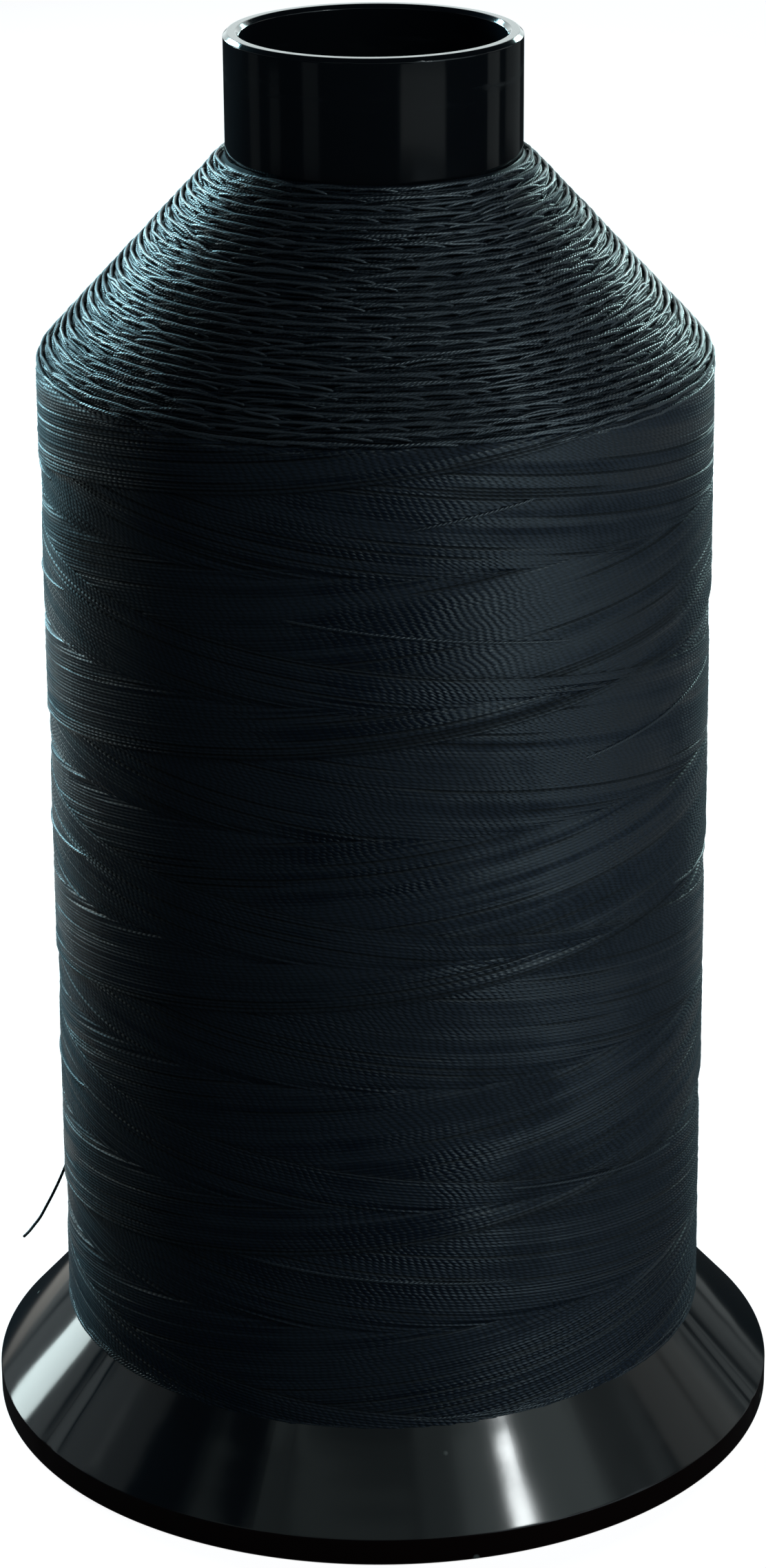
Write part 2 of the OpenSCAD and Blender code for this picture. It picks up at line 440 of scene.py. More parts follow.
@dataclass(frozen=True)
class BondedThread(Finish):
    """Blue-black bonded thread, with the plies' twist as slanting ridges along each turn and painted shade
    in its ply grooves and slots.
    """

    colour: Colour = (0.0045, 0.0105, 0.0230)
    # painted shade: the colour of the grooves between the plies, and of slots and contact shadows at full
    # shade
    hollow: Colour = (0.0004, 0.0010, 0.0024)
    ply_spacing: float = 0.92
    ply_turns: float = 0.6
    column_shift: float = 0.22
    drift: float = 2.8
    ridge: float = 0.06 * MM
    shine: float = 0.40

    def paint(self) -> Material:
        """Makes the material.

        The map's u is the length along the thread in mm. The whole part of v is the turn's
        number, and the rest is the way across it. A ridge's phase is ply_turns x the way across
        plus u / ply_spacing, plus slow noise, so that the ridges of neighbouring turns fall into
        wavy columns. The height is the absolute sine of half that phase. The colour falls to
        hollow, a painted shade, in the grooves between the plies. The open attribute paints shade
        into the slots between turns and a contact shadow beside the other lay's oldest turn, and
        worn stretches and the slots are duller.

        Returns:
            The new material.
        """
        sheet = ShaderSheet(self.name)
        place = sheet.place()
        lay = sheet.node("UVMap", uv_map=LAY_UV).outputs[0]
        lay = sheet.node("SeparateXYZ", {0: lay}).outputs
        turn_number, across = sheet.math("FLOOR", lay["Y"]), sheet.math("FRACT", lay["Y"])

        def noise_along(along_scale: float, turn_scale: float, detail: float) -> NodeSocket:
            """Noise that is drawn out along the thread."""
            x, y = sheet.times(lay["X"], along_scale), sheet.times(turn_number, turn_scale)
            return sheet.noise(sheet.node("CombineXYZ", {0: x, 1: y}).outputs[0], 1.0, detail)

        wander = sheet.times(noise_along(0.075, 0.19, 2.0), self.drift)
        phase = sheet.math("MULTIPLY_ADD", across, self.ply_turns, wander)
        phase = sheet.plus(phase, sheet.times(turn_number, self.column_shift))
        phase = sheet.plus(phase, sheet.math("DIVIDE", lay["X"], self.ply_spacing))
        ply = sheet.math("ABSOLUTE", sheet.math("SINE", sheet.times(phase, math.pi)))
        patch = sheet.noise(place, 38.0, 3.0)
        slot = sheet.node("Attribute", attribute_name="open").outputs["Fac"]
        # painted shade: the grooves between the plies fall to the hollow colour, and slots and contact
        # shadows darken fully to it
        lit = sheet.times(sheet.ramp(ply, 0.15, 0.95, 0.12), sheet.ramp(patch, 0.3, 0.7, 0.7, 1.15))
        lit = sheet.times(lit, sheet.math("SUBTRACT", 1.0, slot))
        sheet.put("Base Color", sheet.mix(lit, rgba(self.hollow), rgba(self.colour)))
        worn = sheet.ramp(sheet.times(patch, noise_along(0.010, 0.22, 3.0)), 0.19, 0.30, 1.0, 0.0)
        dull = sheet.math("MAXIMUM", worn, slot)
        smooth = sheet.ramp(sheet.times(ply, sheet.noise(place, 600.0)), 0.06, 0.5, 0.50, 0.30)
        sheet.put("Roughness", sheet.math("MULTIPLY_ADD", dull, 0.40, smooth))
        relief = sheet.times(ply, sheet.ramp(sheet.noise(place, 95.0), 0.38, 0.62, 0.35))
        fibre = sheet.times(sheet.noise(sheet.squeezed(3.0), 4200.0), 0.25)
        sheet.bump(sheet.plus(relief, fibre), self.ridge)
        sheet.set(
            Specular_IOR_Level=self.shine,
            Specular_Tint=rgba((0.85, 0.97, 1.0)),
            Sheen_Weight=0.04,
            Sheen_Roughness=0.35,
            Sheen_Tint=rgba((0.55, 0.9, 1.0)),
        )
        return sheet.material


BLACK_PLASTIC = PolishedMoulding("black_moulding", "black_plastic")
WOUND_THREAD = BondedThread("wound_thread", "thread")
TURNED_THREAD = BondedThread(
    "turned_thread", "thread", ply_spacing=0.62, ply_turns=3.0, drift=0.4, shine=0.95
)
# painted shade: a darker, duller copy of the turned thread, for the shoulder's lower rows and the loose end
SHADED_THREAD = replace(TURNED_THREAD, name="shaded_thread", colour=(0.0040, 0.0085, 0.0160), shine=0.32)
STRAY_THREAD = replace(TURNED_THREAD, name="stray_thread", ridge=0.07 * MM, shine=0.70)
# painted shade: a darker, duller copy of the thread, for the bed that lies under the shoulder's ridges
SHADED_BURIED_THREAD = BondedThread(
    "shaded_buried_thread", "thread", colour=(0.0026, 0.0055, 0.0105), hollow=(0.0002, 0.0004, 0.0009), shine=0.10
)


# The two mouldings


@dataclass
class Barrel:
    """The tube that the thread is wound on, with a chamfered lip at its open neck.

    A nick is its bearing in degrees and its burr's height in mm.
    """

    outer_r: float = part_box("barrel")[1].x
    seat_z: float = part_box("barrel")[0].z
    top_z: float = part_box("barrel")[1].z
    wall: float = 2.0 * MM
    chamfer: float = 0.5 * MM
    edge_bend: float = 0.18 * MM
    columns: int = 240
    nicks: tuple[tuple[float, float], ...] = ((-9.5, 0.10), (17.5, 0.12), (-61.0, 0.06), (48.0, 0.05))
    nick_reach: float = 0.45 * MM

    def build(self) -> Object:
        """Turns the tube, then raises small burrs where the lip has been knocked.

        Returns:
            The tube's object.
        """
        bore = self.outer_r - self.wall
        shoulder = self.top_z - self.chamfer
        profile = rounded_profile(
            [
                (bore, self.seat_z, 0.0),
                (self.outer_r, self.seat_z, 0.0),
                (self.outer_r, shoulder, self.edge_bend),
                (self.outer_r - self.chamfer, self.top_z, self.edge_bend),
                (bore + self.chamfer, self.top_z, self.edge_bend),
                (bore, shoulder, self.edge_bend),
            ],
            steps=4,
        )
        points, quads = lathe(profile, self.columns)
        for degrees, lift in self.nicks:
            near = nearness(points, self.outer_r, degrees, shoulder, self.nick_reach)
            points = points + near * np.array([0, 0, lift * MM])
        points[:, 2] = np.minimum(points[:, 2], self.top_z)
        return build_mesh("spool_barrel", points, [quads])

    def dress(self) -> Object:
        """Builds and finishes the tube."""
        return adopt(self.build(), BLACK_PLASTIC, "barrel")


@dataclass
class BaseFlange:
    """The hollow cone that the spool stands on, its socket, and the webs under it.

    A dent is its bearing in degrees and its depth in mm.
    """

    rim_r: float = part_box("base_flange")[1].x
    barrel_r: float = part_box("barrel")[1].x
    seat_z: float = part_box("barrel")[0].z
    socket_z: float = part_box("base_flange")[1].z
    rim_h: float = 3.5 * MM
    wall: float = 2.0 * MM
    hub_z: float = 1.0 * MM
    ledge: float = 1.2 * MM
    edge_bend: float = 0.35 * MM
    foot_bend: float = 0.3 * MM
    inner_bend: float = 1.2 * MM
    web_count: int = 16
    web_wall: float = 1.4 * MM
    columns: int = 288
    dents: tuple[tuple[float, float], ...] = (
        (-58.0, 0.22), (-16.0, 0.12), (71.0, 0.18), (29.0, 0.08), (138.0, 0.2),
    )
    dent_reach: float = 0.9 * MM

    @property
    def socket_r(self) -> float:
        """Outer radius of the socket that grips the barrel."""
        return self.barrel_r + self.wall

    @property
    def slope(self) -> float:
        """Rise of the cone for each unit of radius, towards the axis."""
        return (self.socket_z - self.rim_h) / (self.rim_r - self.socket_r)

    def cone_z(self, radius: float) -> float:
        """Height of the cone's outer face at a radius."""
        return self.rim_h + (self.rim_r - radius) * self.slope

    def inner_z(self, radius: float) -> float:
        """Height of the cone's inner face at a radius, a wall below the outer one."""
        return self.cone_z(radius) - self.wall * math.hypot(1, self.slope)

    def shell(self) -> tuple[np.ndarray, np.ndarray]:
        """Turns the shell, and dents its rim where it has been knocked.

        Returns:
            Points and quads.
        """
        skirt = self.rim_r - self.wall
        profile = rounded_profile(
            [
                (self.rim_r, 0.0, self.foot_bend),
                (self.rim_r, self.rim_h, self.edge_bend),
                (self.socket_r, self.cone_z(self.socket_r), 0.4 * MM),
                (self.barrel_r, self.cone_z(self.socket_r), 0.0),
                (self.barrel_r, self.seat_z, 0.0),
                (self.barrel_r - self.ledge, self.seat_z, 0.0),
                (self.barrel_r - self.ledge, self.hub_z, 0.2 * MM),
                (self.socket_r, self.hub_z, self.foot_bend),
                (self.socket_r, self.inner_z(self.socket_r), self.inner_bend),
                (skirt, self.inner_z(skirt), self.inner_bend),
                (skirt, 0.0, self.foot_bend),
            ]
        )
        points, quads = lathe(profile, self.columns)
        for degrees, depth in self.dents:
            near = nearness(points, self.rim_r, degrees, self.rim_h, self.dent_reach)
            inward = -points * np.array([1, 1, 0]) / self.rim_r
            points = points + near * (inward - np.array([0, 0, 0.6])) * depth * MM
        return points, quads

    def webs(self, first: int) -> tuple[np.ndarray, np.ndarray]:
        """The webs: each is a flat plate under the cone, thicker by a draft at its top.

        Args:
            first: Number of the first vertex.

        Returns:
            Points and quads.
        """
        overlap = 0.4 * MM
        inner, outer = self.socket_r - overlap, self.rim_r - self.wall + overlap
        radius = np.linspace(inner, outer, 9)
        low = np.full_like(radius, self.hub_z)
        high = np.maximum(self.inner_z(radius) + overlap, low + overlap)
        level = np.linspace(0, 1, 4)[:, None]
        z = low + (high - low) * level
        half = (self.web_wall / 2) * (0.85 + 0.3 * level) + 0 * z
        face = np.stack([radius + 0 * z, half, z], -1)
        plate = np.stack([face, face * np.array([1, -1, 1])])
        sides, levels, spans = plate.shape[:3]
        turn = np.arange(self.web_count) * 2 * math.pi / self.web_count
        cos, sin = np.cos(turn)[:, None, None, None], np.sin(turn)[:, None, None, None]
        x, y, z = plate[..., 0], plate[..., 1], plate[..., 2]
        points = np.stack([x * cos - y * sin, x * sin + y * cos, z + 0 * cos], -1)

        grid = np.arange(sides * levels * spans).reshape(sides, levels, spans)
        left, right = grid
        walls = [cell_corners(left)[..., [1, 0, 3, 2]].reshape(-1, 4), cell_corners(right).reshape(-1, 4)]
        border = np.concatenate([left[0], left[1:, -1], left[-1, -2::-1], left[-2:0:-1, 0]])
        opposite = border + levels * spans
        edge = np.stack([border, np.roll(border, -1), np.roll(opposite, -1), opposite], -1)
        quads = np.concatenate([*walls, edge])
        offset = np.arange(self.web_count)[:, None, None] * sides * levels * spans
        return points.reshape(-1, 3), (quads[None] + offset + first).reshape(-1, 4)

    def dress(self) -> Object:
        """Builds and finishes the base."""
        shell_points, shell_quads = self.shell()
        web_points, web_quads = self.webs(len(shell_points))
        points = np.concatenate([shell_points, web_points])
        piece = build_mesh("spool_base", points, [shell_quads, web_quads])
        return adopt(piece, BLACK_PLASTIC, "base_flange")


# The wound package


@dataclass(frozen=True)
class Meridian:
    """Side view of the dressed package: straight side, rounded edge, straight slope.

    A run is the length along this line, equal to the height on the straight side.
    """

    side_r: float
    neck_r: float
    neck_z: float = 166.5 * MM
    fall: float = 1.0737
    bend: float = 3.0 * MM

    @property
    def tilt(self) -> float:
        """Angle through which the edge turns, in radians."""
        return math.atan(1 / self.fall)

    @property
    def edge_run(self) -> float:
        """Run at which the side starts to turn in: the height of the bend's middle."""
        middle_r = self.side_r - self.bend
        return self.neck_z - self.fall * (middle_r - self.neck_r) - self.bend * math.hypot(1, self.fall)

    @property
    def slope_run(self) -> float:
        """Run at which the slope starts."""
        return self.edge_run + self.bend * self.tilt

    @property
    def neck_run(self) -> float:
        """Run at which the slope meets the neck."""
        start_r = self.side_r - self.bend * (1 - math.cos(self.tilt))
        return self.slope_run + (start_r - self.neck_r) / math.sin(self.tilt)

    def at(self, run: np.ndarray, lift: np.ndarray) -> tuple[np.ndarray, np.ndarray]:
        """Radius and height at a run, lifted off the line along its normal.

        The normal turns from level to the slope's normal over the bend, at run / bend radians.

        Args:
            run: Lengths along the line.
            lift: Distances off it.

        Returns:
            Radii and heights.
        """
        angle = np.clip((run - self.edge_run) / self.bend, 0, self.tilt)
        side = np.minimum(run, self.edge_run)
        beyond = np.maximum(run - self.slope_run, 0)
        radius = self.side_r - self.bend + (self.bend + lift) * np.cos(angle) - beyond * np.sin(self.tilt)
        height = side + (self.bend + lift) * np.sin(angle) + beyond * np.cos(self.tilt)
        return radius, height

    def point(self, run: np.ndarray, turn: np.ndarray, lift: np.ndarray) -> np.ndarray:
        """Places on the package."""
        radius, height = self.at(run, lift)
        return around(radius, turn, height)

    def normal(self, run: np.ndarray, turn: np.ndarray) -> np.ndarray:
        """Directions straight off the package."""
        angle = np.clip((run - self.edge_run) / self.bend, 0, self.tilt)
        return around(np.cos(angle), turn, np.sin(angle))


@dataclass(frozen=True)
class StrayTurn:
    """A turn that lies proud of its neighbours: where it starts and ends, and its rise."""

    from_degrees: float
    to_degrees: float
    start_z: float
    end_z: float


@dataclass
class ThreadPackage:
    """The wound thread: two crossing lays on the side, and turned-back threads at both ends.

    Each pass of the traverse lays one thread beside the last, so each lay has one fresh edge, a
    helix of one lead. Behind it the lay grows older and lower, by a step over one lead, and where
    the two lays are of one age they plait. The lay of lesser age shows. A slot is an open furrow:
    its least and greatest reach in degrees, and the odds that a furrow has one. The sections are
    depths across one thread, from furrow to furrow, and the widths in threads are those of the
    seam behind a fresh edge, the edge's lip and the painted contact shadow at the other lay's
    oldest turn, where only the colour darkens.
    """

    meridian: Meridian = field(
        default_factory=lambda: Meridian(
            side_r=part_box("thread_core")[1].x + 0.55 * MM, neck_r=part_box("barrel")[1].x
        )
    )
    foot_z: float = 13.8 * MM
    thread_d: float = 0.4 * MM
    lead: float = 32.5 * MM
    threads_per_lead: int = 78
    rows_per_thread: int = 4
    columns: int = 96
    mark_degrees: float = -73.0
    up_edge_z: float = 97.0 * MM
    down_edge_z: float = 87.5 * MM
    up_step: float = 0.27 * MM
    down_step: float = 0.14 * MM
    up_lip: float = 0.06 * MM
    down_lip: float = -0.08 * MM
    plait: float = 0.05
    furrow: float = 0.10 * MM
    furrow_section: tuple[float, ...] = (0.0, 0.8, 1.0, 0.8)
    slot_section: tuple[float, ...] = (1.0, 0.55, 0.0, 0.55)
    slot_depth: float = 0.20 * MM
    slot_fade_degrees: float = 4.0
    seam_threads: float = 0.8
    lip_threads: float = 1.2
    # width in threads of the painted contact shadow at the other lay's oldest turn
    contact_shadow_threads: float = 1.1
    uneven: float = 0.018 * MM
    proud_odds: float = 0.04
    proud: float = 0.05 * MM
    ripple: float = 0.10 * MM
    slots: tuple[tuple[float, float, float], ...] = ((4, 20, 0.40), (6, 28, 0.44), (26, 60, 0.24))
    guard: float = 0.4 * MM
    tiers: int = 28
    arc_pitch: float = 4.9 * MM
    arc_points: int = 15
    arc_sides: int = 6
    arc_bow: tuple[float, float] = (8.0, 15.0)
    arc_half_length: tuple[float, float] = (5.0 * MM, 7.5 * MM)
    arc_dive: float = 0.85 * MM
    foot_arcs: int = 150
    bridging_odds: float = 0.12
    crest_row: tuple[float, float] = (0.0, -0.20)
    lower_rows: tuple[tuple[float, float], ...] = ((-0.47, -0.62), (0.47, -0.78))
    seed: int = 7
    strays: tuple[StrayTurn, ...] = (
        StrayTurn(-104, -64, 113.6, 115.6),
        StrayTurn(-100, -58, 80.4, 82.4),
        StrayTurn(-98, -62, 48.6, 50.0),
        StrayTurn(-101, -70, 127.0, 128.4),
        StrayTurn(-18, 36, 119.5, 114.6),
        StrayTurn(34, 82, 99.3, 103.4),
        StrayTurn(3, 27, 130.1, 133.0),
        StrayTurn(58, 104, 78.2, 75.0),
        StrayTurn(20, 64, 45.5, 42.0),
        StrayTurn(-30, 26, 36.4, 32.4),
        StrayTurn(118, 176, 108.0, 113.0),
        StrayTurn(140, 214, 66.0, 60.0),
        StrayTurn(186, 250, 91.0, 96.0),
        StrayTurn(200, 262, 38.0, 33.0),
    )

    @property
    def rows_per_lead(self) -> int:
        """Grid rows in one lead."""
        return self.threads_per_lead * self.rows_per_thread

    @property
    def low_run(self) -> float:
        """Run at which the side's surfaces end, inside the base cone's wall."""
        return self.foot_z - 1.2 * MM

    @property
    def high_run(self) -> float:
        """Run at which the side's surfaces end, under the shoulder's threads."""
        return self.meridian.edge_run + 0.8 * MM

    def fresh_edge(self, climb: Climb, turn: np.ndarray) -> np.ndarray:
        """Height of a lay's fresh edge at a turn: a helix of one lead."""
        start = self.up_edge_z if climb is Climb.UP else self.down_edge_z
        return start + climb.value * self.lead * (turn - math.radians(self.mark_degrees)) / (2 * math.pi)

    def age(self, climb: Climb, run: np.ndarray, turn: np.ndarray) -> np.ndarray:
        """Age of a lay at a place: 0 at its fresh edge, 1 a lead behind it."""
        behind = climb.value * (run - self.fresh_edge(climb, turn)) / self.lead
        return np.mod(behind, 1.0)

    def relief(self, up_age: np.ndarray, down_age: np.ndarray) -> np.ndarray:
        """Lift of the package where the lays have these ages: a step for each fresh lay."""
        return self.up_step * (0.5 - up_age) + self.down_step * (0.5 - down_age)

    def open_furrows(
        self, rng: np.random.Generator, turn: np.ndarray, furrow: np.ndarray, count: int
    ) -> np.ndarray:
        """How far a lay's furrows stand open.

        Args:
            rng: The lay's random numbers.
            turn: Turns of places on the lay.
            furrow: Number of the furrow nearest to each place.
            count: How many furrows there are.

        Returns:
            1 in a slot and 0 where the furrow is closed, of the shape of the places.
        """
        slot = np.zeros(turn.shape)
        fade = math.radians(self.slot_fade_degrees)
        for shortest, longest, odds in self.slots:
            centre = rng.uniform(-math.pi, math.pi, count)
            reach = np.radians(rng.uniform(shortest, longest, count)) * (rng.random(count) < odds)
            off = np.abs(np.mod(turn - centre[furrow] + math.pi, 2 * math.pi) - math.pi)
            slot = np.maximum(slot, smooth_step((reach[furrow] - off) / fade))
        return slot

    def side_lay(self, climb: Climb) -> list[Object]:
        """Builds one lay of the side as a grid whose rows run along the threads.

        Row i lies at fresh_edge(turn) + lead x i / rows_per_lead. A column a full turn on is
        the first column again, a lead higher or lower. The lift is the relief, less a thread
        where this lay is covered, plus the round furrowed section of the threads, each thread's
        own small offset and the fresh edge's lip, less the slots between threads.

        Args:
            climb: Which of the two lays.

        Returns:
            The lay's pieces, cut along a furrow.
        """
        sign, per_lead, rows = climb.value, self.rows_per_lead, self.rows_per_thread
        turn_line = np.linspace(-math.pi, math.pi, self.columns + 1)
        edges = self.fresh_edge(climb, turn_line)
        first = math.floor((self.low_run - edges.max()) / self.lead * per_lead / rows) * rows
        last = math.ceil((self.high_run - edges.min()) / self.lead * per_lead / rows) * rows
        i, j = np.meshgrid(np.arange(first, last + 1), np.arange(self.columns + 1), indexing="ij")
        turn = turn_line[j]
        run = edges[j] + self.lead * i / per_lead
        own = np.mod(sign * i, per_lead) / per_lead
        other_climb = Climb.DOWN if climb is Climb.UP else Climb.UP
        other = self.age(other_climb, run + sign * self.guard, turn)

        rng = np.random.default_rng(self.seed + sign)
        thread = (i - first) // rows + self.threads_per_lead
        count = int(thread.max()) + self.threads_per_lead + 1
        share = smooth_step(j / self.columns)

        def per_thread(values: np.ndarray) -> np.ndarray:
            """Each thread's value, handed over to the next turn's across a full turn."""
            return values[thread] * (1 - share) + values[thread + sign * self.threads_per_lead] * share

        own_lift = rng.normal(0, self.uneven, count)
        own_lift = own_lift + np.where(rng.random(count) < self.proud_odds, self.proud, 0.0)
        tuck = rng.normal(0, 0.035, count)
        beside = (i + 1 - first) // rows + self.threads_per_lead
        slot = self.open_furrows(rng, turn, beside, count)
        way_across = np.mod(i, rows)
        behind = own * self.threads_per_lead
        seam_at, lip = (1.0, self.up_lip) if climb is Climb.UP else (0.0, self.down_lip)
        slot = np.maximum(slot, np.exp(-(((behind - seam_at) / self.seam_threads) ** 2)))
        slot = slot * np.array(self.slot_section)[way_across]
        # painted contact shadow beside the other lay's oldest turn: it darkens the colour only, and the
        # surface there is whole
        foot = np.exp(-(((1 - other) * self.threads_per_lead / self.contact_shadow_threads) ** 2))

        section = np.array(self.furrow_section)[way_across]
        showing = np.clip((other - own + per_thread(tuck)) / self.plait, -1, 1)
        showing = np.sin(showing * math.pi / 2)
        up_age, down_age = (own, other) if climb is Climb.UP else (other, own)
        lift = self.relief(up_age, down_age) + (showing - 1) * self.thread_d / 2
        lift += self.furrow * (section - 1) + per_thread(own_lift)
        lift += lip * np.exp(-behind / self.lip_threads) - self.slot_depth * slot
        lift -= 0.9 * MM * smooth_step((run - self.high_run) / (1.5 * MM) + 1)
        # painted shade: the slots, whose surface also sinks, and the contact shadow both darken the
        # thread's colour
        painted_shade = np.clip(np.maximum(slot, foot), 0, 1)
        ripple = np.sin(2 * turn + 0.7 + run / (9 * MM)) * np.cos(3 * turn - run / (14 * MM))
        points = self.meridian.point(run + self.ripple * ripple, turn, lift)

        beyond = i + sign * per_lead
        number = np.where(j < self.columns, (i - first) * self.columns + j, (beyond - first) * self.columns)
        known = (j < self.columns) | ((beyond >= first) & (beyond <= last))
        inside = (run >= self.low_run) & (run <= self.high_run) & known
        cells = inside[:-1, :-1] & inside[:-1, 1:] & inside[1:, 1:] & inside[1:, :-1]
        along = (turn + math.pi) * self.meridian.side_r / MM
        lane = (i - first) / rows

        quads, u, v = cell_corners(number), cell_corners(along), cell_corners(lane)
        middle = (first + last) // (2 * rows) * rows
        all_points, painted_shade = points[:, :-1].reshape(-1, 3), painted_shade[:, :-1].ravel()
        pieces = []
        for part, chosen in (("lower", i[:-1, :-1] < middle), ("upper", i[:-1, :-1] >= middle)):
            keep = cells & chosen
            used, compact = np.unique(quads[keep], return_inverse=True)
            uv = np.stack([u[keep], v[keep]], -1).reshape(-1, 2)
            name = f"side_lay_{climb.name.lower()}_{part}"
            faces = [compact.reshape(-1, 4)]
            pieces.append(build_mesh(name, all_points[used], faces, uv, painted_shade[used]))
        return pieces

    def shoulder_bed(self) -> Object:
        """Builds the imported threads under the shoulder's ridges.

        A ring of the grid lies at each half thread of run, lifted and lowered in turn, with a
        slow wave round the package.

        Returns:
            The bed's object.
        """
        meridian, columns = self.meridian, 180
        runs = np.arange(meridian.edge_run - 1.0 * MM, meridian.neck_run - 0.4 * MM, self.thread_d / 2)
        turn = np.linspace(-math.pi, math.pi, columns + 1)
        i, j = np.meshgrid(np.arange(len(runs)), np.arange(columns + 1), indexing="ij")
        lift = -0.90 * MM + 0.07 * MM * (i % 2)
        lift = lift + 0.05 * MM * np.sin(5 * turn[j] + i * 0.9) * np.sin(3 * turn[j] - i * 0.31)
        points = meridian.point(runs[i], turn[j], lift)[:, :-1].reshape(-1, 3)
        number = i * columns + j % columns
        u, v = cell_corners(turn[j] * meridian.side_r / MM), cell_corners(i / 2)
        quads, uv = cell_corners(number).reshape(-1, 4), np.stack([u, v], -1).reshape(-1, 2)
        return build_mesh("shoulder_bed", points, [quads], uv)

    def turned_threads(
        self,
        name: str,
        peak_run: np.ndarray,
        peak_turn: np.ndarray,
        bow: np.ndarray,
        hop: np.ndarray,
        half_length: np.ndarray,
        lift: np.ndarray,
        dive: float,
    ) -> Object:
        """Builds threads that turn back at an end of the package, one short arc for each.

        At x along the package from its peak, an arc lies at run peak - bow x^2, and its ends
        dive under their neighbours with the sixth power of x / half_length. A hop takes it
        smoothly from one tier to another over the middle third.

        Args:
            name: The piece's name.
            peak_run: Run of each arc's peak.
            peak_turn: Turn of each arc's peak.
            bow: Bend of each arc, per metre; below 0 it turns upwards.
            hop: How far each arc rises from its left end to its right one.
            half_length: Half the length of each arc.
            lift: Lift of each arc's middle line.
            dive: How far the ends dive.

        Returns:
            The arcs, joined in one object.
        """
        share = np.linspace(-1, 1, self.arc_points)[None, :]
        x = half_length[:, None] * share
        step = smooth_step((share + 0.35) / 0.7) - 0.5
        run = peak_run[:, None] + hop[:, None] * step - bow[:, None] * x * x
        radius, _ = self.meridian.at(peak_run[:, None], np.zeros((1, 1)))
        turn = peak_turn[:, None] + x / radius
        depth = lift[:, None] - dive * share**6
        droop = 1.3 * MM * smooth_step((run - self.meridian.neck_run + 2.2 * MM) / (2.4 * MM))
        paths = self.meridian.point(run, turn, depth - droop)
        outward = self.meridian.normal(run, turn)
        points, faces, uv = sweep_rounds(paths, outward, np.array(self.thread_d * 0.53), self.arc_sides)
        return build_mesh(name, points, faces, uv)

    def shoulder_rows(self, name: str, *rows: tuple[float, float]) -> list[Object]:
        """Builds rows of arcs, tier on tier from the edge to the neck.

        A tier is a step of the slope. Its crest is one row, and lower rows pack its face and
        its foot.

        Args:
            name: The pieces' first name.
            rows: Each row's offset from its tier along the slope, and its lift, in mm.

        Returns:
            The rows of the slope's lower, middle and upper third.
        """
        rng = np.random.default_rng(self.seed + len(rows))
        low, high = self.meridian.edge_run - 0.9 * MM, self.meridian.neck_run - 1.9 * MM
        pieces = []
        parts = np.array_split(np.linspace(low, high, self.tiers), 3)
        pitch = (high - low) / (self.tiers - 1)
        for part, tier_runs in zip(("lower", "middle", "upper"), parts):
            peaks, turns, hops, lifts = [], [], [], []
            for tier_run in tier_runs:
                radius = float(self.meridian.at(np.array(tier_run), np.array(0.0))[0])
                count = round(2 * math.pi * radius / self.arc_pitch)
                for offset, lift in rows:
                    spread = np.linspace(-math.pi, math.pi, count, endpoint=False) + rng.uniform(0, 1)
                    spread = spread + rng.normal(0, 0.18, count) * 2 * math.pi / count
                    bridging = rng.random(count) < self.bridging_odds
                    rise = np.where(rng.random(count) < 0.5, pitch, -pitch) * bridging / 2
                    turns.append(spread)
                    peaks.append(tier_run + (offset + 0.25 + rng.normal(0, 0.07, count)) * MM)
                    hops.append(rise)
                    lifts.append(lift * MM + rng.normal(0, 0.03, count) * MM - 0.06 * MM * bridging)
            peak_run, peak_turn, hop, lift = (np.concatenate(v) for v in (peaks, turns, hops, lifts))
            bow = rng.uniform(*self.arc_bow, len(hop))
            half_length = rng.uniform(*self.arc_half_length, len(hop))
            arcs = (peak_run, peak_turn, bow, hop, half_length, lift)
            pieces.append(self.turned_threads(f"{name}_{part}", *arcs, self.arc_dive))
        return pieces

    def foot_turns(self) -> Object:
        """Builds the threads that turn back at the foot, on the base cone.

        Returns:
            The arcs, joined in one object.
        """
        rng = np.random.default_rng(self.seed + 5)
        count = self.foot_arcs
        return self.turned_threads(
            "foot_turns",
            peak_run=self.foot_z + np.abs(rng.normal(0.0, 0.55, count)) * MM - 0.1 * MM,
            peak_turn=rng.uniform(-math.pi, math.pi, count),
            bow=-rng.uniform(0.8, 2.4, count),
            hop=rng.normal(0, 0.15, count) * MM,
            half_length=rng.uniform(10, 16, count) * MM,
            lift=rng.uniform(-0.3, -0.05, count) * MM,
            dive=0.5 * MM,
        )

    def stray_turns(self) -> Object:
        """Builds the turns that lie proud of the side, each tucked in at both ends.

        Returns:
            The turns, joined in one object.
        """
        share = np.linspace(0, 1, 33)[None, :]
        first, last, start, end = np.array([astuple(s) for s in self.strays]).T[..., None]
        turn = np.radians(first + (last - first) * share)
        run = (start + (end - start) * share) * MM
        lift = self.relief(self.age(Climb.UP, run, turn), self.age(Climb.DOWN, run, turn))
        smoothed = np.stack([np.convolve(np.pad(l, 3, mode="edge"), np.ones(7) / 7, "valid") for l in lift])
        tuck = 0.55 * MM * np.abs(2 * share - 1) ** 10
        paths = self.meridian.point(run, turn, smoothed - 0.02 * MM - tuck)
        outward = self.meridian.normal(run, turn)
        points, faces, uv = sweep_rounds(paths, outward, np.array(self.thread_d * 0.5), 8)
        return build_mesh("stray_turns", points, faces, uv)

    def dress(self) -> list[Object]:
        """Builds and finishes the whole package."""
        pieces = [adopt(p, WOUND_THREAD) for p in self.side_lay(Climb.UP)]
        pieces += [adopt(p, WOUND_THREAD) for p in self.side_lay(Climb.DOWN)]
        pieces.append(adopt(self.shoulder_bed(), SHADED_BURIED_THREAD, "thread_core"))
        ridges = self.shoulder_rows("shoulder_ridges", self.crest_row)
        pieces += [adopt(p, TURNED_THREAD, "outer_turns") for p in ridges]
        pieces += [adopt(p, SHADED_THREAD) for p in self.shoulder_rows("shoulder_rows", *self.lower_rows)]
        pieces.append(adopt(self.foot_turns(), STRAY_THREAD))
        pieces.append(adopt(self.stray_turns(), STRAY_THREAD))
        return pieces


